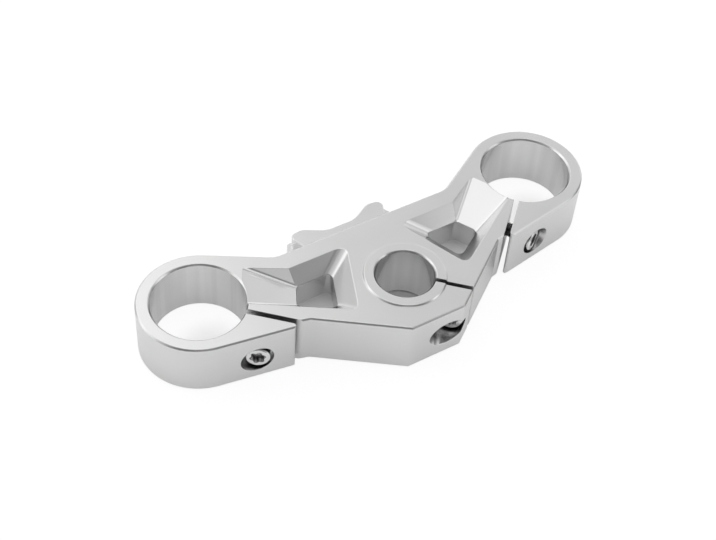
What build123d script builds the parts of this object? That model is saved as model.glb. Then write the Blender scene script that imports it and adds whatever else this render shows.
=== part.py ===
"""Top triple clamp of a motorcycle fork, machined from one aluminium billet.

Frame: the origin is on the steering stem's axis, in the flat underside.
+X runs along the fork line to the right fork leg, +Y points to the front of the motorcycle and +Z is up.
Sizes are in millimetres.
"""
import os
from math import cos, radians, sin

from build123d import *

# Fork legs and steering stem
fork_spacing = 207.0
fork_offset = 35.0
fork_bore = 50.0
fork_wall = 7.5
stem_bore = 32.0
bore_chamfer = 0.9

# Plate
plate_thickness = 32.0
edge_chamfer = 0.9
rear_half_width = 16.2
rear_reach = 33.2
lip_width = 7.1
lip_angle = 14.0
ear_angle = 9.3
ear_tip_radius = 1.5
front_reach = 43.6
shoulder_angle = 30.5
shoulder_radius = 12.0

# Boss round the stem bore
boss_diameter = 45.0
boss_height = 1.0
boss_chamfer = 0.7

# Clamping slits
slit_angle = 43.5
fork_slit_width = 3.0
fork_slit_reach = 52.13
stem_slit_width = 2.5

# Milled pocket in each arm, given for the right arm
pocket_depth = 23.0
rim_depth = 8.5
cutter_radius = 3.0
ramp_valley_radius = 2.6
inner_valley_radius = 6.0
pocket_front = 26.0
pocket_inner_front = 29.3
pocket_outer_front = 51.0
pocket_outer_rear = (57.3, 14.4)
pocket_inner_rear = (38.8, 2.7)
front_slope = 51.0
inner_slope = 43.0
rear_slope = 49.0
ramp_slope = 16.8
shoulder_slope = 56.5
shoulder_facet_angle = 29.3

# Front flange, low on the plate, given for the right half
flange_thickness = 10.0
lobe_reach = 71.8
web_dip = 6.9
web_half_width = 9.0
web_radius = 14.0
lobe_inner = 21.2
lobe_inner_radius = 7.0
lobe_outer = 30.8
lobe_outer_drop = 1.0
lobe_outer_radius = 3.5
lobe_side_angle = 20.8
foot_thickness = 3.0
foot_outer = 30.8
foot_outer_drop = 0.4
foot_corner_radius = 2.5
foot_side_angle = 28.5
flange_root = 8.0
flange_edge = 0.4

# M8 cheese head screws with a six-lobed socket
screw_diameter = 8.0
screw_length = 25.0
screw_hole_clearance = 0.4
thread_clearance = 0.1
head_diameter = 13.0
head_height = 5.0
head_edge = 0.5
socket_diameter = 7.6
socket_lobe_diameter = 1.9
socket_depth = 3.2
tip_chamfer = 0.8
tip_room = 1.5

# Fork pinch screws, one in each ear
ear_screw_offset = 15.3
ear_screw_height = 13.8
ear_screw_lean = 60.0
ear_head_sink = 1.2
ear_counterbore = 16.9

# Stem pinch screw, through the rear face
stem_screw_x = 6.7
stem_screw_height = 15.3
stem_head_sink = 9.0
stem_counterbore = 15.8

# Working values
fork_x = fork_spacing / 2
ring_radius = fork_bore / 2 + fork_wall
fork_centre = Vector(fork_x, fork_offset)
web_reach = lobe_reach - web_dip
block = 150.0
over = 2.0


def along(angle: float) -> Vector:
    """Unit direction in the XY plane at an angle in degrees."""
    return Vector(cos(radians(angle)), sin(radians(angle)))


def meet(first: Vector, run: Vector, second: Vector, other: Vector) -> Vector:
    """Point where two level lines cross seen from above, each given by a point and a direction."""
    gap = second - first
    return first + run * ((gap.X * other.Y - gap.Y * other.X) / (run.X * other.Y - run.Y * other.X))


def both_corners(corners: ShapeList, place: Vector) -> list:
    """The corners nearest to a place on the right half and to its mirror image."""
    image = Vector(-place.X, place.Y, place.Z)
    return [corners.sort_by_distance(spot)[0] for spot in (place, image)]


def both_sides(right: Part) -> list:
    """A feature of the right arm and its mirror image."""
    return [right, right.mirror(Plane.YZ)]


# Corners of the right half of the plate, seen from above
ear_start = fork_centre + along(ear_angle - 90) * ring_radius
slit_edge = fork_centre + along(slit_angle - 90) * (fork_slit_width / 2)
ear_mouth = meet(ear_start, along(ear_angle), fork_centre, along(slit_angle))
ear_tip = meet(ear_start, along(ear_angle), slit_edge, along(slit_angle))
lip_mouth = fork_centre - along(slit_angle) * fork_slit_reach
flank_end = lip_mouth - along(lip_angle) * lip_width
rear_corner = Vector(rear_half_width, -rear_reach)
shoulder_start = fork_centre + along(90 + shoulder_angle) * ring_radius
shoulder_corner = meet(Vector(0, front_reach), along(0), shoulder_start, along(shoulder_angle))

# Screw axes: the point where each one leaves the outline, and the way back out of the part
ear_hole = meet(ear_start, along(ear_angle), Vector(fork_x - ear_screw_offset, 0), along(90))
ear_plane = Plane(origin=ear_hole + Vector(0, 0, ear_screw_height), z_dir=along(-ear_screw_lean))
stem_hole = Vector(stem_screw_x, -rear_reach, stem_screw_height)
stem_plane = Plane(origin=stem_hole, z_dir=along(-90 - slit_angle))


def plate() -> Part:
    """The billet's outline with its chamfered edges, before any bore or slit."""
    with BuildPart() as blank:
        with BuildSketch() as outline:
            with BuildLine():
                Polyline((0, -rear_reach), rear_corner, flank_end, lip_mouth, ear_mouth, ear_start)
                CenterArc(fork_centre, ring_radius, ear_angle - 90, 180 + shoulder_angle - ear_angle)
                Polyline(shoulder_start, shoulder_corner, (0, front_reach))
                mirror(about=Plane.YZ)
            make_face()
            fillet(both_corners(outline.vertices(), shoulder_corner), shoulder_radius)
        extrude(amount=plate_thickness)
        ends = blank.edges().group_by(Axis.Z)
        chamfer(ends[0] + ends[-1], edge_chamfer)
    return blank.part


def front_flange() -> Part:
    """The low flange at the front, with a lobe on each side."""
    inner = Vector(lobe_inner, lobe_reach)
    outer = Vector(lobe_outer, lobe_reach - lobe_outer_drop)
    root = front_reach - flange_root
    side_root = meet(outer, along(90 - lobe_side_angle), Vector(0, root), along(0))
    with BuildPart() as flange:
        with BuildSketch() as top:
            with BuildLine():
                Polyline((0, web_reach), (web_half_width, web_reach), inner, outer, side_root, (0, root))
                mirror(about=Plane.YZ)
            make_face()
            fillet(both_corners(top.vertices(), Vector(web_half_width, web_reach)), web_radius)
            fillet(both_corners(top.vertices(), inner), lobe_inner_radius)
            fillet(both_corners(top.vertices(), outer), lobe_outer_radius)
        extrude(amount=flange_thickness)
        chamfer(flange.edges().group_by(Axis.Z)[-1], flange_edge)
    return flange.part


def flange_foot() -> Part:
    """The thin foot under the flange, which spreads out to the plate on each side."""
    corner = Vector(foot_outer, lobe_reach - foot_outer_drop)
    root = front_reach - flange_root
    side_root = meet(corner, along(foot_side_angle - 90), Vector(0, root), along(0))
    with BuildPart() as foot:
        with BuildSketch() as outline:
            with BuildLine():
                Polyline((0, web_reach - over), (lobe_inner, lobe_reach - over), corner, side_root, (0, root))
                mirror(about=Plane.YZ)
            make_face()
            fillet(both_corners(outline.vertices(), corner), foot_corner_radius)
        extrude(amount=foot_thickness)
    return foot.part


def facet(start: Vector, end: Vector, slope: float) -> Part:
    """Everything above a plane that falls at a slope to the rim edge from start to end.

    The removed side lies to the right of the edge, seen from above.
    """
    run = (end - start).normalized()
    normal = Vector(run.Y, -run.X) * sin(radians(slope)) + Vector(0, 0, cos(radians(slope)))
    with BuildPart(Plane(origin=start, x_dir=run, z_dir=normal)) as above:
        Box(block, block, block, align=(Align.CENTER, Align.CENTER, Align.MIN))
    return above.part


def dish(rim: list, slopes: list, radii: list) -> Part:
    """A hollow with four sloped sides that fall to the rim's edges, a rounded valley at each corner."""
    with BuildPart() as hollow:
        with Locations((0, 0, plate_thickness - rim_depth - over)):
            Box(2 * block, 2 * block, rim_depth + 2 * over, align=(Align.CENTER, Align.CENTER, Align.MIN))
        for start, end, slope in zip(rim, rim[1:] + rim[:1], slopes):
            add(facet(start, end, slope), mode=Mode.INTERSECT)
        for corner, radius in zip(rim, radii):
            fillet(hollow.edges().sort_by_distance(corner)[0], radius)
    return hollow.part


def well(rim: list) -> Part:
    """The straight well below the rim, with a flat floor."""
    with BuildPart() as shaft:
        with BuildSketch(Plane.XY.offset(plate_thickness - pocket_depth)) as section:
            with BuildLine():
                Polyline(*[(corner.X, corner.Y) for corner in rim], close=True)
            make_face()
            fillet(section.vertices(), cutter_radius)
        extrude(amount=pocket_depth + over)
    return shaft.part


def arm_pocket() -> Part:
    """The right arm's pocket: two overlapping dishes, one along the front and one along the shoulder."""
    height = plate_thickness - rim_depth
    front_inner = Vector(pocket_inner_front, pocket_front, height)
    front_outer = Vector(pocket_outer_front, pocket_front, height)
    rear_outer = Vector(*pocket_outer_rear, height)
    rear_inner = Vector(*pocket_inner_rear, height)
    shoulder_inner = meet(front_outer, along(shoulder_facet_angle), rear_inner, front_inner - rear_inner)
    front_rim = [front_inner, front_outer, rear_outer, rear_inner]
    shoulder_rim = [shoulder_inner, front_outer, rear_outer, rear_inner]
    radii = [inner_valley_radius, ramp_valley_radius, ramp_valley_radius, inner_valley_radius]
    with BuildPart() as pocket:
        add(dish(front_rim, [front_slope, ramp_slope, rear_slope, inner_slope], radii))
        add(dish(shoulder_rim, [shoulder_slope, ramp_slope, rear_slope, inner_slope], radii))
        add(well(front_rim))
    return pocket.part


def bore(diameter: float, top: float) -> Part:
    """A through bore from the underside to a top face, chamfered at both ends."""
    radius = diameter / 2
    with BuildPart() as cutter:
        with Locations((0, 0, -over)):
            Cylinder(radius, top + 2 * over, align=(Align.CENTER, Align.CENTER, Align.MIN))
        Cone(radius + bore_chamfer, radius, bore_chamfer, align=(Align.CENTER, Align.CENTER, Align.MIN))
        with Locations((0, 0, top)):
            Cone(radius, radius + bore_chamfer, bore_chamfer, align=(Align.CENTER, Align.CENTER, Align.MAX))
    return cutter.part


def slit(start: Vector, angle: float, width: float) -> Part:
    """A saw cut through the whole plate, from a point outwards."""
    with BuildPart(Plane(origin=start - Vector(0, 0, over), x_dir=along(angle), z_dir=(0, 0, 1))) as cut:
        Box(block / 2, width, plate_thickness + 2 * over, align=(Align.MIN, Align.CENTER, Align.MIN))
    return cut.part


def screw_hole(plane: Plane, counterbore: float, sink: float, cut_start: Vector, cut_run: Vector) -> Part:
    """A counterbore, a clearance hole as far as the slit and a blind threaded hole beyond it."""
    seat = sink + head_height
    reach = seat + screw_length + tip_room
    down = (Align.CENTER, Align.CENTER, Align.MAX)
    flat = Vector(plane.origin.X, plane.origin.Y)
    slit_depth = (meet(flat, plane.z_dir, cut_start, cut_run) - flat).length
    with BuildPart(plane) as hole:
        Cylinder((screw_diameter + thread_clearance) / 2, reach, align=down)
        Cylinder((screw_diameter + screw_hole_clearance) / 2, slit_depth, align=down)
        with Locations((0, 0, counterbore)):
            Cylinder(counterbore / 2, counterbore + seat, align=down)
    return hole.part


def pinch_screw(plane: Plane, sink: float) -> Part:
    """A cheese head screw with a six-lobed socket, its head sunk below the plane."""
    up = (Align.CENTER, Align.CENTER, Align.MIN)
    down = (Align.CENTER, Align.CENTER, Align.MAX)
    lobe_circle = (socket_diameter - socket_lobe_diameter) / 2
    with BuildPart(plane.offset(-sink - head_height)) as screw:
        Cylinder(screw_diameter / 2, screw_length, align=down)
        chamfer(screw.edges().sort_by(Axis(plane.origin, plane.z_dir))[0], tip_chamfer)
        Cylinder(head_diameter / 2, head_height, align=up)
        fillet(screw.edges().sort_by(Axis(plane.origin, plane.z_dir))[-1], head_edge)
        with BuildSketch(plane.offset(-sink)):
            Circle(lobe_circle)
            with PolarLocations(lobe_circle, 6):
                Circle(socket_lobe_diameter / 2)
        extrude(amount=-socket_depth, mode=Mode.SUBTRACT)
    return screw.part


def clamp() -> Part:
    """The whole clamp body."""
    up = (Align.CENTER, Align.CENTER, Align.MIN)
    with BuildPart() as body:
        add(plate())
        add(front_flange())
        add(flange_foot())
        Cylinder(boss_diameter / 2, plate_thickness + boss_height, align=up)
        chamfer(body.edges().group_by(Axis.Z)[-1], boss_chamfer)
        for pocket in both_sides(arm_pocket()):
            add(pocket, mode=Mode.SUBTRACT)
        add(bore(stem_bore, plate_thickness + boss_height), mode=Mode.SUBTRACT)
        with Locations((fork_x, fork_offset, 0), (-fork_x, fork_offset, 0)):
            add(bore(fork_bore, plate_thickness), mode=Mode.SUBTRACT)
        add(slit(Vector(0, 0), -slit_angle, stem_slit_width), mode=Mode.SUBTRACT)
        for cut in both_sides(slit(fork_centre, 180 + slit_angle, fork_slit_width)):
            add(cut, mode=Mode.SUBTRACT)
        tips = ear_tip + Vector(0, 0, plate_thickness / 2)
        fillet(both_corners(body.edges().filter_by(Axis.Z), tips), ear_tip_radius)
        ear_cut = screw_hole(ear_plane, ear_counterbore, ear_head_sink, fork_centre, along(slit_angle))
        for hole in both_sides(ear_cut):
            add(hole, mode=Mode.SUBTRACT)
        add(
            screw_hole(stem_plane, stem_counterbore, stem_head_sink, Vector(0, 0), along(-slit_angle)),
            mode=Mode.SUBTRACT,
        )
    return body.part


with BuildPart() as clamp_body:
    add(clamp())
clamp_body.part.label = "clamp_body"

with BuildPart() as pinch_screws:
    for ear_screw in both_sides(pinch_screw(ear_plane, ear_head_sink)):
        add(ear_screw)
    add(pinch_screw(stem_plane, stem_head_sink))
pinch_screws.part.label = "pinch_screws"

os.makedirs("parts", exist_ok=True)
export_step(clamp_body.part, "parts/clamp_body.step")
export_step(pinch_screws.part, "parts/pinch_screws.step")
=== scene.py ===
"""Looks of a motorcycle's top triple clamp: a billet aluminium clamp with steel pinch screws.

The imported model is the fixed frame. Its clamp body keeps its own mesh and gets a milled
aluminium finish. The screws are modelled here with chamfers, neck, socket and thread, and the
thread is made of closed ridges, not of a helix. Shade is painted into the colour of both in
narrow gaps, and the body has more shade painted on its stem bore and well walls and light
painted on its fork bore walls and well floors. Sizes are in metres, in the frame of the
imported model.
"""

import logging
import math
from dataclasses import dataclass
from enum import Enum

import bpy
from mathutils import Matrix, Vector


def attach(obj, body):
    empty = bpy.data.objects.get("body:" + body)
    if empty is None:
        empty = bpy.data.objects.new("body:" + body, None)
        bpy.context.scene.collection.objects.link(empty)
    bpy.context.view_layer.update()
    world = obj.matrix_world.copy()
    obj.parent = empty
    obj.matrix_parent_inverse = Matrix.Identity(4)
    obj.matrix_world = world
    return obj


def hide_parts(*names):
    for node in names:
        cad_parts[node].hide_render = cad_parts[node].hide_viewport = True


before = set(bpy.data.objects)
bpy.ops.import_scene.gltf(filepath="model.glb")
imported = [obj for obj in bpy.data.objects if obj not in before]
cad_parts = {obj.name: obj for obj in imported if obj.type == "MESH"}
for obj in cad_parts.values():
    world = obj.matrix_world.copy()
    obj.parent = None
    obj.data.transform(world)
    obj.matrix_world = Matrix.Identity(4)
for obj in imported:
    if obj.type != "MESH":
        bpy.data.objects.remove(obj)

LOG = logging.getLogger("triple_clamp")
WHITE = (1.0, 1.0, 1.0, 1.0)

Pair = tuple[float, float]
Point = tuple[float, float, float]
Socket = bpy.types.NodeSocket
Value = bpy.types.NodeSocket | float


class Ray(Enum):
    """Light Path outputs that the floor and the world tell apart."""

    CAMERA = "Is Camera Ray"
    GLOSSY = "Is Glossy Ray"


class NodeSheet:
    """A node tree with short calls for the nodes that this scene uses."""

    def __init__(self, tree: bpy.types.NodeTree) -> None:
        """Empties the tree of a material or of the world."""
        self.tree = tree
        tree.nodes.clear()

    def add(self, kind: str, **settings: object) -> bpy.types.Node:
        """Adds a node.

        Args:
            kind: The node's type name.
            settings: Properties to set on the node.

        Returns:
            The new node.
        """
        node = self.tree.nodes.new(kind)
        for name, value in settings.items():
            setattr(node, name, value)
        return node

    def link(self, source: Socket, target: Socket) -> None:
        """Joins two sockets."""
        self.tree.links.new(source, target)

    def feed(self, socket: Socket, value: Value) -> None:
        """Links an input to a socket or sets it.

        Args:
            socket: The input to fill.
            value: Another node's socket, or a number.
        """
        if isinstance(value, Socket):
            self.link(value, socket)
        else:
            socket.default_value = value

    def math(self, operation: str, first: Value, second: Value = 0.0) -> Socket:
        """Adds a Math node.

        Args:
            operation: The operation's name.
            first: First input, a socket or a number.
            second: Second input, a socket or a number.

        Returns:
            The result's socket.
        """
        node = self.add("ShaderNodeMath", operation=operation)
        self.feed(node.inputs[0], first)
        self.feed(node.inputs[1], second)
        return node.outputs[0]

    def near(self, value: Value, middle: float, reach: float) -> Socket:
        """Adds a Math node that is one where a value is near a number, and else zero.

        Args:
            value: The value, a socket or a number.
            middle: The number that it is compared with.
            reach: How far from that it may be.

        Returns:
            The result's socket.
        """
        result = self.math("COMPARE", value, middle)
        result.node.inputs[2].default_value = reach
        return result

    def ramp(self, value: Value, span: Pair, result: Pair = (0.0, 1.0)) -> Socket:
        """Adds a smooth Map Range node.

        Args:
            value: The input, a socket or a number.
            span: Inputs between which the result changes.
            result: Results below the first and above the last of them.

        Returns:
            The result's socket.
        """
        node = self.add("ShaderNodeMapRange", interpolation_type="SMOOTHSTEP")
        for name, number in zip(("From Min", "From Max", "To Min", "To Max"), (*span, *result)):
            node.inputs[name].default_value = number
        self.feed(node.inputs["Value"], value)
        return node.outputs["Result"]

    def noise(self, place: Socket, stretch: Point, detail: float = 2.0) -> Socket:
        """Adds noise on stretched coordinates.

        Args:
            place: The coordinates that the noise reads.
            stretch: Cells for each metre along X, Y and Z.
            detail: The noise's detail.

        Returns:
            The noise factor's socket.
        """
        mapping = self.add("ShaderNodeMapping")
        mapping.inputs["Scale"].default_value = stretch
        self.link(place, mapping.inputs["Vector"])
        noise = self.add("ShaderNodeTexNoise")
        noise.inputs["Scale"].default_value = 1.0
        noise.inputs["Detail"].default_value = detail
        self.link(mapping.outputs["Vector"], noise.inputs["Vector"])
        return noise.outputs["Fac"]

    def split(self, vector: Socket) -> bpy.types.Node:
        """Adds a node that splits a vector.

        Args:
            vector: The vector.

        Returns:
            The node, with outputs X, Y and Z.
        """
        node = self.add("ShaderNodeSeparateXYZ")
        self.link(vector, node.inputs["Vector"])
        return node

    def against(self, operation: str, vector: Socket, fixed: Point) -> Socket:
        """Adds a Vector Math node that sets a vector against a fixed one.

        Args:
            operation: The operation's name, DOT_PRODUCT or DISTANCE.
            vector: The vector.
            fixed: The vector that it is set against.

        Returns:
            The socket of the resulting number.
        """
        node = self.add("ShaderNodeVectorMath", operation=operation)
        self.link(vector, node.inputs[0])
        node.inputs[1].default_value = fixed
        return node.outputs["Value"]

    def bump(self, height: Socket, depth: float, normal: Socket) -> Socket:
        """Adds a Bump node.

        Args:
            height: The height, in steps of the depth.
            depth: Height of one step in metres.
            normal: The normal to start from.

        Returns:
            The socket of the new normal.
        """
        node = self.add("ShaderNodeBump")
        node.inputs["Distance"].default_value = depth
        self.link(height, node.inputs["Height"])
        self.link(normal, node.inputs["Normal"])
        return node.outputs["Normal"]


@dataclass(frozen=True)
class Chatter:
    """Chatter marks that the cutter left beside a valley, on the left arm.

    Attributes:
        start: A point on the valley's line in metres, given for the right arm.
        along: Unit direction of the valley.
        across: Unit direction away from the valley, in the marked face.
        reach: Where the marks begin and end along the valley, in metres.
        width: How far they run out from the valley, in metres.
        pitch: Distance between two marks in metres.
        depth: Their depth in metres.
        rise: Distances from the valley, as shares of the width, over which the marks come in.
        fall: Distances from the valley, as shares of the width, over which they fade out.
        cross: Pitch of the ripples across the marks, as a multiple of their own.
    """

    start: Point
    along: Point
    across: Point
    reach: Pair
    width: float
    pitch: float
    depth: float
    rise: Pair = (0.1, 0.3)
    fall: Pair = (0.5, 1.0)
    cross: float = 1.4

    def mask(self, sheet: NodeSheet, parts: bpy.types.Node, run: Socket, off: Socket) -> Socket:
        """Finds the marked area.

        Args:
            sheet: The material's nodes.
            parts: The node that splits the coordinates.
            run: Distance along the valley.
            off: Distance from the valley.

        Returns:
            A socket that is one in the area and fades out round it.
        """
        begin, end = self.reach
        level = sheet.math("LESS_THAN", parts.outputs["X"], 0.0)
        for edge in (
            sheet.ramp(run, (begin, begin + self.width)),
            sheet.ramp(run, (end - self.width, end), (1.0, 0.0)),
            sheet.ramp(off, (self.rise[0] * self.width, self.rise[1] * self.width)),
            sheet.ramp(off, (self.fall[0] * self.width, self.fall[1] * self.width), (1.0, 0.0)),
        ):
            level = sheet.math("MULTIPLY", level, edge)
        return level

    def normal(self, sheet: NodeSheet, parts: bpy.types.Node, normal: Socket) -> Socket:
        """Roughens a normal with the marks.

        Args:
            sheet: The material's nodes.
            parts: The node that splits the coordinates.
            normal: The normal to start from.

        Returns:
            The socket of the new normal.
        """
        mirrored = sheet.add("ShaderNodeCombineXYZ")
        sheet.link(sheet.math("ABSOLUTE", parts.outputs["X"]), mirrored.inputs["X"])
        sheet.link(parts.outputs["Y"], mirrored.inputs["Y"])
        sheet.link(parts.outputs["Z"], mirrored.inputs["Z"])
        lengths, waves = [], []
        for direction, pitch in ((self.along, self.pitch), (self.across, self.cross * self.pitch)):
            length = sheet.against("DOT_PRODUCT", mirrored.outputs["Vector"], direction)
            length = sheet.math("SUBTRACT", length, Vector(direction).dot(Vector(self.start)))
            lengths.append(length)
            waves.append(sheet.math("SINE", sheet.math("MULTIPLY", length, 2.0 * math.pi / pitch)))
        mask = self.mask(sheet, parts, *lengths)
        height = sheet.math("MULTIPLY", mask, sheet.math("ADD", *waves))
        return sheet.bump(height, self.depth, normal)


@dataclass(frozen=True)
class Bore:
    """Where a bore is. It stands for its mirror image too.

    Attributes:
        across: Distance of its axis to the side, in metres.
        ahead: Distance of its axis to the front, in metres.
        radius: Its radius in metres.
        painted_shade: Shade painted on its wall, as a share of its colour; where it is below zero,
            it is painted light.
    """

    across: float
    ahead: float
    radius: float
    painted_shade: float


@dataclass(frozen=True)
class BoreWalls:
    """Walls of bores, which are smoother than the rest, with streaks of painted shade along them
    and each with its own painted shade, which is painted light where it is below zero.

    Attributes:
        bores: The bores.
        tolerance: How far in metres from its radius a point still lies on a bore's wall.
        polish: How much less rough the walls are.
        streaks: Cells of the streaks for each metre along X, Y and Z.
        detail: Detail of the streaks' noise.
        span: Noise values between which a streak goes from none to its full strength.
        strength: How much painted shade a full streak puts on the colour, as a multiple of the
            cloudiness.
    """

    bores: tuple[Bore, ...]
    tolerance: float = 0.0004
    polish: float = 0.09
    streaks: Point = (190.0, 190.0, 4.0)
    detail: float = 3.0
    span: Pair = (0.35, 0.65)
    strength: float = 2.4

    def find(self, sheet: NodeSheet, parts: bpy.types.Node) -> tuple[Value, Value]:
        """Finds the walls.

        Args:
            sheet: The material's nodes.
            parts: The node that splits the coordinates.

        Returns:
            A value that is one on the walls, and one with the shade painted on them there, which is
            painted light where it is below zero.
        """
        wall: Value = 0.0
        painted_shade_and_light: Value = 0.0
        for bore in self.bores:
            side = sheet.math("SUBTRACT", sheet.math("ABSOLUTE", parts.outputs["X"]), bore.across)
            front = sheet.math("SUBTRACT", parts.outputs["Y"], bore.ahead)
            squares = [sheet.math("MULTIPLY", length, length) for length in (side, front)]
            distance = sheet.math("SQRT", sheet.math("ADD", *squares))
            here = sheet.near(distance, bore.radius, self.tolerance)
            wall = sheet.math("ADD", wall, here)
            # Painted shade on each bore's wall; below zero it is painted light.
            painted_shade_and_light = sheet.math("ADD", painted_shade_and_light, sheet.math("MULTIPLY", here, bore.painted_shade))
        return wall, painted_shade_and_light

    def streaked(self, sheet: NodeSheet, place: Socket, wall: Value) -> Socket:
        """Paints streaks of shade on the walls.

        Args:
            sheet: The material's nodes.
            place: The coordinates.
            wall: A value that is one on the walls.

        Returns:
            The socket with how strong the streaks are.
        """
        # Painted shade: dark streaks along the bore walls stand in for the dark bands that
        # reflections draw there.
        noise = sheet.noise(place, self.streaks, self.detail)
        return sheet.math("MULTIPLY", wall, sheet.ramp(noise, self.span, (0.0, self.strength)))


@dataclass(frozen=True)
class Wells:
    """The straight wells sunk in the pockets, with rough floors under painted light and walls under
    painted shade.

    Attributes:
        middle: Distance to the side and to the front of a well's middle, in metres.
        half: Half its size to the side and to the front, in metres.
        top: Height in metres up to which shade is painted on the walls.
        painted_shade: Shade painted on the walls, as a share of their colour.
        floor: Height of the floors in metres.
        tolerance: How far in metres from that height a point still lies on the floor.
        level: Least share of the normal that points up on a floor.
        rough: How much rougher the floors are than the rest.
        painted_light: Light painted on the floors: how much brighter they are than the rest.
    """

    middle: Pair = (0.0433, 0.0144)
    half: Pair = (0.0142, 0.0120)
    top: float = 0.0235
    painted_shade: float = 0.06
    floor: float = 0.009
    tolerance: float = 0.0003
    level: float = 0.9
    rough: float = 0.50
    painted_light: float = 0.26

    def floors(self, sheet: NodeSheet, parts: bpy.types.Node) -> Socket:
        """Finds the floors.

        Args:
            sheet: The material's nodes.
            parts: The node that splits the coordinates.

        Returns:
            A socket that is one on the floors.
        """
        facing = sheet.split(sheet.add("ShaderNodeNewGeometry").outputs["True Normal"])
        upward = sheet.math("GREATER_THAN", facing.outputs["Z"], self.level)
        height = sheet.near(parts.outputs["Z"], self.floor, self.tolerance)
        return sheet.math("MULTIPLY", height, upward)

    def painted_shade_and_light(self, sheet: NodeSheet, parts: bpy.types.Node, floors: Socket) -> Socket:
        """Works out the shade painted on the wells' walls and the light painted on their floors.

        Args:
            sheet: The material's nodes.
            parts: The node that splits the coordinates.
            floors: A socket that is one on the floors.

        Returns:
            The socket with the painted shade, which is below zero on the floors, where light is
            painted.
        """
        side = sheet.near(sheet.math("ABSOLUTE", parts.outputs["X"]), self.middle[0], self.half[0])
        front = sheet.near(parts.outputs["Y"], self.middle[1], self.half[1])
        below = sheet.math("LESS_THAN", parts.outputs["Z"], self.top)
        inside = sheet.math("MULTIPLY", below, sheet.math("MULTIPLY", side, front))
        # Painted shade on the well walls, less the light painted on the floors.
        walls = sheet.math("MULTIPLY", inside, self.painted_shade)
        return sheet.math("SUBTRACT", walls, sheet.math("MULTIPLY", floors, self.painted_light))


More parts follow.
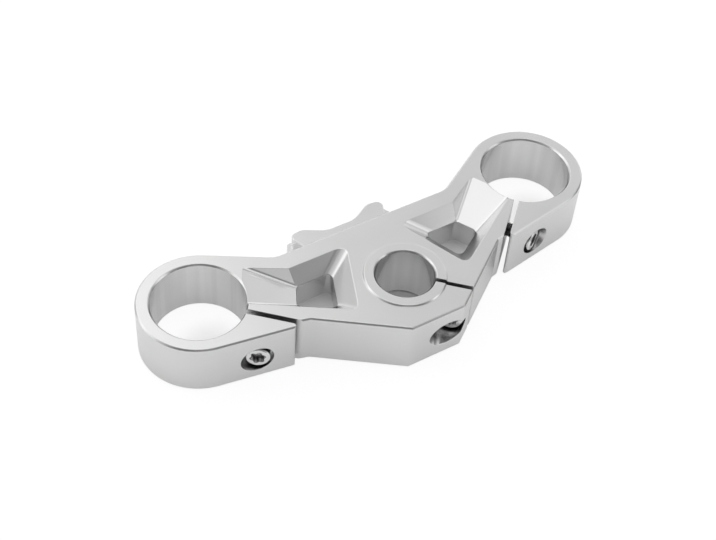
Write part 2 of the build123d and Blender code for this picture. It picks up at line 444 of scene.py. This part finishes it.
@dataclass(frozen=True)
class MetalFinish:
    """A bare metal surface with fine tool marks, and with shade painted into its colour in narrow
    gaps.

    Attributes:
        name: The material's name.
        colour: Base colour, linear.
        roughness: Mean roughness.
        spread: How far the roughness varies either way.
        grain: Cells of the fine grain for each metre.
        marks: Cells of the tool marks for each metre along X, Y and Z.
        relief: Height of the bump in metres.
        brushed: How high the tool marks stand against the grain.
        cloud: How much the colour varies over the surface.
        edge: Radius in metres of the worn rounding on sharp edges.
        marks_detail: Detail of the tool marks' noise.
        cloud_cells: Cells of the cloudiness for each metre.
        cloud_detail: Detail of the cloudiness's noise.
        marks_share: The tool marks' share in the roughness. The cloudiness has the rest.
        span: Noise values between which the roughness and the colour change.
        edge_samples: Samples for the worn rounding.
        gap: Width in metres of the gaps in which shade is painted into the colour.
        gap_samples: Samples for the open sky over a point.
        shaded: Shares of open sky between which the painted shade goes from its darkest to none.
        darkest: Share of its colour that the surface keeps under the painted shade in the narrowest
            gaps.
        walls: Walls of bores, if it has any.
        wells: Wells in the pockets, if it has any.
        chatter: Chatter marks, if it has any.
    """

    name: str
    colour: Point
    roughness: float
    spread: float
    grain: float
    marks: Point
    relief: float
    brushed: float
    cloud: float
    edge: float
    marks_detail: float = 3.0
    cloud_cells: float = 28.0
    cloud_detail: float = 4.0
    marks_share: float = 0.6
    span: Pair = (0.3, 0.7)
    edge_samples: int = 6
    gap: float = 0.004
    gap_samples: int = 8
    shaded: Pair = (0.10, 0.38)
    darkest: float = 0.12
    walls: BoreWalls | None = None
    wells: Wells | None = None
    chatter: Chatter | None = None

    def rough(self, sheet: NodeSheet, marks: Socket, cloud: Socket) -> Socket:
        """Works out the plain surface's roughness.

        Args:
            sheet: The material's nodes.
            marks: The tool marks.
            cloud: The cloudiness.

        Returns:
            The roughness's socket.
        """
        uneven = sheet.math(
            "ADD",
            sheet.math("MULTIPLY", marks, self.marks_share),
            sheet.math("MULTIPLY", cloud, 1.0 - self.marks_share),
        )
        limits = (self.roughness - self.spread, self.roughness + self.spread)
        return sheet.ramp(uneven, self.span, limits)

    def tint(self, sheet: NodeSheet, cloud: Socket, streaks: Value) -> Socket:
        """Works out the colour before it is shaded.

        The mix isn't clamped, because a streak takes its factor below zero.

        Args:
            sheet: The material's nodes.
            cloud: The cloudiness.
            streaks: How strong the streaks of painted shade in the bores are.

        Returns:
            The colour's socket.
        """
        tint = sheet.add("ShaderNodeMix", data_type="RGBA", clamp_factor=False)
        darker = tuple(channel * (1.0 - self.cloud) for channel in self.colour)
        tint.inputs["A"].default_value = (*darker, 1.0)
        tint.inputs["B"].default_value = (*self.colour, 1.0)
        share = sheet.math("SUBTRACT", sheet.ramp(cloud, self.span), streaks)
        sheet.link(share, tint.inputs["Factor"])
        return tint.outputs["Result"]

    def shade(self, sheet: NodeSheet, tint: Socket, painted_shade_and_light: Value) -> Socket:
        """Paints shade into a colour in narrow gaps, and adds the painted shade and light that it
        is given.

        Args:
            sheet: The material's nodes.
            tint: The colour.
            painted_shade_and_light: Shade painted on the surface, as a share of its colour; below
                zero it is painted light.

        Returns:
            The socket of the darkened colour.
        """
        # Painted shade: the colour darkens where little open sky is near, in gaps, slits and
        # sockets.
        sky = sheet.add("ShaderNodeAmbientOcclusion", samples=self.gap_samples)
        sky.inputs["Distance"].default_value = self.gap
        share = sheet.ramp(sky.outputs["AO"], self.shaded, (self.darkest, 1.0))
        scaled = sheet.add("ShaderNodeVectorMath", operation="SCALE")
        sheet.link(tint, scaled.inputs[0])
        sheet.link(sheet.math("SUBTRACT", share, painted_shade_and_light), scaled.inputs["Scale"])
        return scaled.outputs["Vector"]

    def normal(
        self, sheet: NodeSheet, parts: bpy.types.Node, grain: Socket, marks: Socket
    ) -> Socket:
        """Works out the normal, with worn edges, chatter marks, tool marks and grain.

        Args:
            sheet: The material's nodes.
            parts: The node that splits the coordinates.
            grain: The grain.
            marks: The tool marks.

        Returns:
            The normal's socket.
        """
        worn = sheet.add("ShaderNodeBevel", samples=self.edge_samples)
        worn.inputs["Radius"].default_value = self.edge
        normal = worn.outputs["Normal"]
        if self.chatter:
            normal = self.chatter.normal(sheet, parts, normal)
        height = sheet.math("ADD", grain, sheet.math("MULTIPLY", marks, self.brushed))
        return sheet.bump(height, self.relief, normal)

    def make(self) -> bpy.types.Material:
        """Makes the material.

        Returns:
            The material.
        """
        material = bpy.data.materials.new(self.name)
        material.use_nodes = True
        sheet = NodeSheet(material.node_tree)
        place = sheet.add("ShaderNodeTexCoord").outputs["Object"]
        parts = sheet.split(place)
        grain = sheet.noise(place, (self.grain,) * 3)
        marks = sheet.noise(place, self.marks, self.marks_detail)
        cloud = sheet.noise(place, (self.cloud_cells,) * 3, self.cloud_detail)
        rough = self.rough(sheet, marks, cloud)
        streaks: Value = 0.0
        painted_shade_and_light: Value = 0.0
        # Painted shade on the stem bore and well walls, painted light on the fork bore walls and
        # well floors.
        if self.walls:
            wall, painted_shade_and_light = self.walls.find(sheet, parts)
            streaks = self.walls.streaked(sheet, place, wall)
            rough = sheet.math("SUBTRACT", rough, sheet.math("MULTIPLY", wall, self.walls.polish))
        if self.wells:
            floors = self.wells.floors(sheet, parts)
            rough = sheet.math("ADD", rough, sheet.math("MULTIPLY", floors, self.wells.rough))
            painted_shade_and_light = sheet.math("ADD", painted_shade_and_light, self.wells.painted_shade_and_light(sheet, parts, floors))
        tint = self.tint(sheet, cloud, streaks)
        shader = sheet.add("ShaderNodeBsdfPrincipled")
        shader.inputs["Metallic"].default_value = 1.0
        sheet.link(rough, shader.inputs["Roughness"])
        sheet.link(self.shade(sheet, tint, painted_shade_and_light), shader.inputs["Base Color"])
        sheet.link(self.normal(sheet, parts, grain, marks), shader.inputs["Normal"])
        output = sheet.add("ShaderNodeOutputMaterial")
        sheet.link(shader.outputs["BSDF"], output.inputs["Surface"])
        return material


BILLET = MetalFinish(
    name="billet",
    colour=(0.79, 0.79, 0.79),
    roughness=0.25,
    spread=0.012,
    grain=1500.0,
    marks=(60.0, 700.0, 700.0),
    relief=0.0000015,
    brushed=0.02,
    cloud=0.03,
    edge=0.0006,
    # Painted shade on the stem bore's wall and painted light on the fork bores' walls.
    walls=BoreWalls((Bore(0.0, 0.0, 0.016, 0.20), Bore(0.1035, 0.035, 0.025, -0.08))),
    wells=Wells(),
    chatter=Chatter(
        start=(0.051, 0.026, 0.0235),
        along=(0.728, 0.624, 0.283),
        across=(0.636, -0.769, 0.058),
        reach=(0.002, 0.027),
        width=0.0046,
        pitch=0.0011,
        depth=0.000035,
    ),
)
SCREW_STEEL = MetalFinish(
    name="screw_steel",
    colour=(0.90, 0.90, 0.90),
    roughness=0.22,
    spread=0.06,
    grain=5000.0,
    marks=(900.0, 900.0, 900.0),
    relief=0.000004,
    brushed=1.0,
    cloud=0.10,
    edge=0.0002,
    # Painted shade in the sockets and in the gaps round the heads.
    shaded=(0.30, 0.82),
)


@dataclass(frozen=True)
class ClampBody:
    """The clamp body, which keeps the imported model's own mesh.

    Attributes:
        node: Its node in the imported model.
        finish: Its finish.
    """

    node: str = "clamp_body"
    finish: MetalFinish = BILLET

    def dress(self) -> None:
        """Puts the finish on every slot of the node."""
        material = self.finish.make()
        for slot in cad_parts[self.node].material_slots:
            slot.material = material
        LOG.info("%s wears %s", self.node, material.name)


@dataclass(frozen=True)
class ScrewSize:
    """Sizes of an M8 cheese head screw with a six-lobed socket, in metres.

    Attributes:
        head_radius: Radius of the head.
        head_height: Height of the head.
        edge: Width of the chamfer round the head's top.
        relief: Width of the small chamfer under the head.
        radius: Outer radius of the thread and the neck.
        root: Radius in the bottom of the thread.
        neck: Length of the plain part under the head.
        length: Length under the head.
        pitch: Distance between two crests of the thread.
        valley: Where the bottom of the thread lies in a pitch, as a share of it.
        crest: Where the next crest begins in a pitch, as a share of it.
        tip: Width of the chamfer at the tip.
        socket_radius: Radius of the socket at its lobes.
        socket_depth: Depth of the socket.
        turned: How far the socket is turned, in degrees.
    """

    head_radius: float = 0.0065
    head_height: float = 0.005
    edge: float = 0.0006
    relief: float = 0.0003
    radius: float = 0.004
    root: float = 0.00338
    neck: float = 0.0035
    length: float = 0.025
    pitch: float = 0.00125
    valley: float = 0.5
    crest: float = 0.9
    tip: float = 0.0008
    socket_radius: float = 0.0044
    socket_depth: float = 0.0034
    turned: float = 14.0

    def profile(self) -> list[Pair]:
        """Lists the screw's half section from the head's top to the tip.

        Returns:
            Radius and height of each point. The head's seat is at height zero.
        """
        points = [
            (0.0, self.head_height),
            (self.head_radius - self.edge, self.head_height),
            (self.head_radius, self.head_height - self.edge),
            (self.head_radius, self.relief),
            (self.head_radius - self.relief, 0.0),
            (self.radius, 0.0),
            (self.radius, -self.neck),
        ]
        thread_end = self.tip - self.length
        height = -self.neck
        while height - self.pitch > thread_end:
            points.append((self.root, height - self.valley * self.pitch))
            points.append((self.radius, height - self.crest * self.pitch))
            height -= self.pitch
            points.append((self.radius, height))
        points.append((self.radius, thread_end))
        points.append((self.radius - self.tip, -self.length))
        points.append((0.0, -self.length))
        return points


@dataclass(frozen=True)
class PinchScrews:
    """The pinch screws, modelled with thread ridges and sockets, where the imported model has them.

    Attributes:
        node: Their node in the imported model.
        piece: The name of the piece that stands for it.
        finish: Their finish.
        size: A screw's sizes.
        sides: Faces round a screw.
        weld: Distance in metres below which two points of the turned screw become one.
        lobes: Lobes of the socket.
        lobe_sides: Faces round each lobe of the socket.
        lobe_shape: Angle from a lobe's middle in degrees, and share of its radius there.
        lobe_tolerance: How far in degrees from that angle a point still is at it.
        smooth_below: Angle in degrees below which an edge is shaded smooth.
        places: Middle of each head's seat in metres, and direction from there to the head.
    """

    node: str = "pinch_screws"
    piece: str = "threaded_pinch_screws"
    finish: MetalFinish = SCREW_STEEL
    size: ScrewSize = ScrewSize()
    sides: int = 40
    weld: float = 0.000002
    lobes: int = 6
    lobe_sides: int = 6
    lobe_shape: tuple[Pair, ...] = ((10.0, 0.965), (20.0, 0.84), (30.0, 0.775))
    lobe_tolerance: float = 1.0
    smooth_below: float = 35.0
    places: tuple[tuple[Point, Point], ...] = (
        ((0.0851, 0.004931, 0.0138), (0.5, -0.866025, 0.0)),
        ((-0.0851, 0.004931, 0.0138), (-0.5, -0.866025, 0.0)),
        ((0.016337, -0.023045, 0.0153), (-0.688355, -0.725374, 0.0)),
    )

    def turn(self) -> bpy.types.Object:
        """Turns a screw without its socket, with its seat at the origin and its head upward.

        Returns:
            The screw's object.
        """
        bpy.ops.object.select_all(action="DESELECT")
        bpy.ops.mesh.primitive_plane_add(size=0.001, location=(0.0, 0.0, 0.0))
        screw = bpy.context.active_object
        screw.name = self.piece
        points = [Vector((radius, 0.0, height)) for radius, height in self.size.profile()]
        bpy.ops.object.mode_set(mode="EDIT")
        bpy.ops.mesh.select_all(action="SELECT")
        bpy.ops.mesh.merge(type="CENTER")
        bpy.ops.transform.translate(value=points[0])
        for before, after in zip(points, points[1:]):
            bpy.ops.mesh.extrude_region_move(TRANSFORM_OT_translate={"value": after - before})
        bpy.ops.mesh.select_all(action="SELECT")
        bpy.ops.mesh.spin(
            steps=self.sides, angle=2.0 * math.pi, center=(0.0, 0.0, 0.0), axis=(0.0, 0.0, 1.0)
        )
        bpy.ops.mesh.select_all(action="SELECT")
        bpy.ops.mesh.remove_doubles(threshold=self.weld)
        bpy.ops.mesh.normals_make_consistent(inside=False)
        bpy.ops.object.mode_set(mode="OBJECT")
        return screw

    def socket_cutter(self) -> bpy.types.Object:
        """Models the lobed tool that cuts the socket.

        Returns:
            The tool's object.
        """
        size = self.size
        bpy.ops.object.select_all(action="DESELECT")
        middle = Vector((0.0, 0.0, size.head_height))
        bpy.ops.mesh.primitive_cylinder_add(
            vertices=self.lobe_sides * self.lobes,
            radius=size.socket_radius,
            depth=2.0 * size.socket_depth,
            location=middle,
        )
        cutter = bpy.context.active_object
        lobe_step = 360.0 / self.lobes
        for angle, share in self.lobe_shape:
            bpy.ops.object.mode_set(mode="EDIT")
            bpy.ops.mesh.select_all(action="DESELECT")
            bpy.ops.object.mode_set(mode="OBJECT")
            for vertex in cutter.data.vertices:
                turned = math.degrees(math.atan2(vertex.co.y, vertex.co.x)) % lobe_step
                off = abs(min(turned, lobe_step - turned) - angle)
                vertex.select = off < self.lobe_tolerance
            bpy.ops.object.mode_set(mode="EDIT")
            bpy.ops.mesh.select_mode(type="VERT")
            bpy.ops.transform.resize(value=(share, share, 1.0), center_override=middle)
        bpy.ops.object.mode_set(mode="OBJECT")
        return cutter

    def model(self) -> bpy.types.Object:
        """Models one whole screw.

        Returns:
            The screw's object.
        """
        screw = self.turn()
        cutter = self.socket_cutter()
        bpy.ops.object.select_all(action="DESELECT")
        screw.select_set(True)
        bpy.context.view_layer.objects.active = screw
        cut = screw.modifiers.new("socket", "BOOLEAN")
        cut.operation = "DIFFERENCE"
        cut.solver = "EXACT"
        cut.object = cutter
        bpy.ops.object.modifier_apply(modifier=cut.name)
        bpy.data.objects.remove(cutter)
        bpy.ops.object.shade_smooth_by_angle(angle=math.radians(self.smooth_below))
        return screw

    def build(self) -> None:
        """Models the screws, sets them in their holes and gives them their finish."""
        first = self.model()
        screws = [first]
        for _ in self.places[1:]:
            copy = first.copy()
            copy.data = first.data.copy()
            bpy.context.collection.objects.link(copy)
            screws.append(copy)
        spin = Matrix.Rotation(math.radians(self.size.turned), 4, "Z")
        for screw, (seat, axis) in zip(screws, self.places):
            lean = Vector(axis).to_track_quat("Z", "Y").to_matrix().to_4x4()
            screw.data.transform(Matrix.Translation(seat) @ lean @ spin)
        bpy.ops.object.select_all(action="DESELECT")
        for screw in screws:
            screw.select_set(True)
        bpy.context.view_layer.objects.active = first
        bpy.ops.object.join()
        first.data.materials.clear()
        first.data.materials.append(self.finish.make())
        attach(first, "root")
        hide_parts(self.node)
        LOG.info("%s has %d faces", first.name, len(first.data.polygons))


@dataclass(frozen=True)
class LightRing:
    """A ring of evenly spaced soft boxes at one height round the object.

    Attributes:
        elevation: Height of the boxes above the horizon in degrees.
        start: Bearing of the first box in degrees, from +X towards +Y.
        levels: Brightness of each box in turn.
    """

    elevation: float
    start: float
    levels: tuple[float, ...]

    def boxes(self) -> list[tuple[Point, float]]:
        """Lists the boxes that shine.

        Returns:
            The direction to each box and its brightness.
        """
        height = math.radians(self.elevation)
        found = []
        for place, level in enumerate(self.levels):
            bearing = math.radians(self.start + 360.0 * place / len(self.levels))
            flat = math.cos(height)
            toward = (flat * math.cos(bearing), flat * math.sin(bearing), math.sin(height))
            if level > 0.0:
                found.append((toward, level))
        return found


@dataclass(frozen=True)
class Surroundings:
    """The soft boxes round the object, with white behind it where the camera looks past it.

    Attributes:
        base: Brightness between the boxes.
        core: Angle in degrees from a box's middle within which it has its full brightness.
        edge: Angle in degrees from a box's middle at which it has faded out.
        rings: The boxes, ring by ring.
    """

    base: float = 0.18
    core: float = 2.0
    edge: float = 22.0
    rings: tuple[LightRing, ...] = (
        LightRing(5.0, 0.0, (
            0.00, 0.24, 0.43, 0.33, 0.23, 0.10, 0.51, 0.31,
            0.13, 0.07, 0.54, 0.00, 0.00, 0.36, 0.00,
        )),
        LightRing(23.0, 12.0, (
            0.55, 0.60, 0.60, 0.52, 0.41, 0.60, 0.60, 0.28,
            0.00, 0.00, 0.26, 0.00, 0.18, 0.52, 0.13,
        )),
        LightRing(41.0, 0.0, (
            0.31, 0.32, 0.19, 0.52, 0.60, 0.58, 0.12, 0.00, 0.00, 0.00, 0.00, 0.58,
        )),
        LightRing(59.0, 22.0, (0.00, 0.35, 0.43, 0.29, 0.13, 0.00, 0.37, 0.15)),
        LightRing(76.0, 0.0, (0.40, 0.36, 0.33, 0.28, 0.45)),
        LightRing(90.0, 0.0, (0.30,)),
        LightRing(51.0, 83.0, (0.38,)),
    )

    def build(self) -> None:
        """Builds the surroundings in the world."""
        world = bpy.data.worlds.new("studio")
        bpy.context.scene.world = world
        world.use_nodes = True
        sheet = NodeSheet(world.node_tree)
        direction = sheet.add("ShaderNodeTexCoord").outputs["Generated"]
        fade = (math.cos(math.radians(self.edge)), math.cos(math.radians(self.core)))
        total: Value = self.base
        for toward, level in (box for ring in self.rings for box in ring.boxes()):
            nearness = sheet.against("DOT_PRODUCT", direction, toward)
            total = sheet.math("ADD", total, sheet.ramp(nearness, fade, (0.0, level)))
        strength = sheet.add("ShaderNodeMix", data_type="FLOAT")
        seen = sheet.add("ShaderNodeLightPath").outputs[Ray.CAMERA.value]
        sheet.link(seen, strength.inputs["Factor"])
        sheet.link(total, strength.inputs["A"])
        strength.inputs["B"].default_value = 1.0
        background = sheet.add("ShaderNodeBackground")
        background.inputs["Color"].default_value = WHITE
        sheet.link(strength.outputs["Result"], background.inputs["Strength"])
        output = sheet.add("ShaderNodeOutputWorld")
        sheet.link(background.outputs["Background"], output.inputs["Surface"])


@dataclass(frozen=True)
class PocketLamp:
    """The small soft lamp that lights the right-hand pocket.

    Attributes:
        place: Its place in metres.
        target: The point in metres that it shines at.
        size: Its diameter in metres.
        power: Its power in watts.
    """

    place: Point = (0.165, -0.164, 0.125)
    target: Point = (0.040, 0.029, 0.027)
    size: float = 0.075
    power: float = 0.006

    def build(self) -> None:
        """Hangs the lamp, out of the camera's sight."""
        data = bpy.data.lights.new("pocket_lamp", "AREA")
        data.shape = "DISK"
        data.size = self.size
        data.energy = self.power
        lamp = bpy.data.objects.new("pocket_lamp", data)
        lamp.location = self.place
        beam = Vector(self.target) - Vector(self.place)
        lamp.rotation_euler = beam.to_track_quat("-Z", "Y").to_euler()
        lamp.visible_camera = False
        bpy.context.scene.collection.objects.link(lamp)


@dataclass(frozen=True)
class Floor:
    """The plain pale floor, which keeps the object's shadow.

    To the camera it also glows, so that it looks white round the object. The glow is left out
    under the stem bore and is weaker under the fork rings. To the metal it glows faintly.

    Attributes:
        radius: Its radius in metres.
        sides: Corners round its rim.
        drop: How far it lies below the object, in metres.
        colour: Its paint, linear.
        bounce: Strength of the glow that the metal reflects.
        white: Strength of the glow that the camera sees.
        share: Share of the white glow in the floor round the object.
        stem_fade: Distances from the stem's axis in metres over which the glow begins.
        rings: Middles of the fork rings in metres.
        ring_fade: Distances from those middles in metres over which the glow grows to its full.
        ring_share: Share of the glow that is left in the middles of the fork rings.
    """

    radius: float = 4.0
    sides: int = 96
    drop: float = 0.0001
    colour: Point = (0.86, 0.86, 0.86)
    bounce: float = 0.19
    white: float = 1.12
    share: float = 0.8
    stem_fade: Pair = (0.019, 0.023)
    rings: tuple[Point, ...] = ((0.106, 0.026, 0.0), (-0.101, 0.026, 0.0))
    ring_fade: Pair = (0.006, 0.025)
    ring_share: float = 0.66

    def glow(self, sheet: NodeSheet, strength: Value) -> Socket:
        """Adds a white glow.

        Args:
            sheet: The floor's nodes.
            strength: Its strength, a socket or a number.

        Returns:
            The glow's socket.
        """
        glow = sheet.add("ShaderNodeEmission")
        glow.inputs["Color"].default_value = WHITE
        sheet.feed(glow.inputs["Strength"], strength)
        return glow.outputs["Emission"]

    def clear(self, sheet: NodeSheet) -> Socket:
        """Works out where the floor looks white to the camera.

        Args:
            sheet: The floor's nodes.

        Returns:
            The socket with the white glow's share.
        """
        place = sheet.add("ShaderNodeTexCoord").outputs["Object"]
        away = sheet.against("DISTANCE", place, (0.0, 0.0, 0.0))
        clear = sheet.ramp(away, self.stem_fade, (0.0, self.share))
        for middle in self.rings:
            away = sheet.against("DISTANCE", place, middle)
            rising = sheet.ramp(away, self.ring_fade, (self.ring_share, 1.0))
            clear = sheet.math("MULTIPLY", clear, rising)
        return clear

    def make(self) -> bpy.types.Material:
        """Makes the floor's material.

        Returns:
            The material.
        """
        material = bpy.data.materials.new("studio_floor")
        material.use_nodes = True
        sheet = NodeSheet(material.node_tree)
        path = sheet.add("ShaderNodeLightPath")
        paint = sheet.add("ShaderNodeBsdfDiffuse")
        paint.inputs["Color"].default_value = (*self.colour, 1.0)
        bounce = sheet.math("MULTIPLY", path.outputs[Ray.GLOSSY.value], self.bounce)
        lit = sheet.add("ShaderNodeAddShader")
        sheet.link(paint.outputs["BSDF"], lit.inputs[0])
        sheet.link(self.glow(sheet, bounce), lit.inputs[1])
        share = sheet.math("MULTIPLY", path.outputs[Ray.CAMERA.value], self.clear(sheet))
        mix = sheet.add("ShaderNodeMixShader")
        sheet.link(share, mix.inputs[0])
        sheet.link(lit.outputs["Shader"], mix.inputs[1])
        sheet.link(self.glow(sheet, self.white), mix.inputs[2])
        output = sheet.add("ShaderNodeOutputMaterial")
        sheet.link(mix.outputs["Shader"], output.inputs["Surface"])
        return material

    def build(self) -> None:
        """Lays the floor."""
        bpy.ops.object.select_all(action="DESELECT")
        bpy.ops.mesh.primitive_circle_add(
            vertices=self.sides,
            radius=self.radius,
            fill_type="NGON",
            location=(0.0, 0.0, -self.drop),
        )
        floor = bpy.context.active_object
        floor.name = "studio_floor"
        floor.data.materials.append(self.make())


@dataclass(frozen=True)
class Viewpoint:
    """Where the photograph was taken from, and how it is framed.

    Attributes:
        place: The camera's place in metres.
        forward: The direction that it looks in.
        level: The level direction to its right, before it is rolled.
        roll: How far it is rolled, in degrees.
        sensor: Width of its sensor in millimetres.
        lens: Focal length in millimetres.
        shift: How far the frame is shifted to the side and up, as shares of its width.
        sight: Nearest and furthest distance that it sees, in metres.
    """

    place: Point = (-0.29824, -0.38829, 0.57968)
    forward: Point = (0.38865, 0.54779, -0.74086)
    level: Point = (0.81558, -0.57864, 0.0)
    roll: float = 5.326
    sensor: float = 36.0
    lens: float = 70.04
    shift: Pair = (-0.0181, -0.0124)
    sight: Pair = (0.01, 50.0)

    def build(self) -> None:
        """Sets the camera up."""
        forward = Vector(self.forward).normalized()
        right = Vector(self.level).normalized()
        up = right.cross(forward)
        roll = math.radians(self.roll)
        across = right * math.cos(roll) + up * math.sin(roll)
        upward = up * math.cos(roll) - right * math.sin(roll)
        data = bpy.data.cameras.new("camera")
        camera = bpy.data.objects.new("camera", data)
        bpy.context.scene.collection.objects.link(camera)
        turn = Matrix((across, upward, -forward)).transposed().to_4x4()
        camera.matrix_world = Matrix.Translation(self.place) @ turn
        data.sensor_width = self.sensor
        data.lens = self.lens
        data.shift_x, data.shift_y = self.shift
        data.clip_start, data.clip_end = self.sight
        bpy.context.scene.camera = camera


@dataclass(frozen=True)
class Studio:
    """Light, lamp, floor and camera.

    Attributes:
        surroundings: The soft boxes.
        lamp: The lamp at the right-hand pocket.
        floor: The floor.
        view: The camera.
    """

    surroundings: Surroundings = Surroundings()
    lamp: PocketLamp = PocketLamp()
    floor: Floor = Floor()
    view: Viewpoint = Viewpoint()

    def build(self) -> None:
        """Builds the whole studio."""
        for part in (self.surroundings, self.lamp, self.floor, self.view):
            part.build()
        bpy.context.scene.view_settings.view_transform = "Standard"


def main() -> None:
    """Builds the scene."""
    logging.basicConfig(level=logging.INFO)
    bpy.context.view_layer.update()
    Studio().build()
    ClampBody().dress()
    PinchScrews().build()


if __name__ == "__main__":
    main()
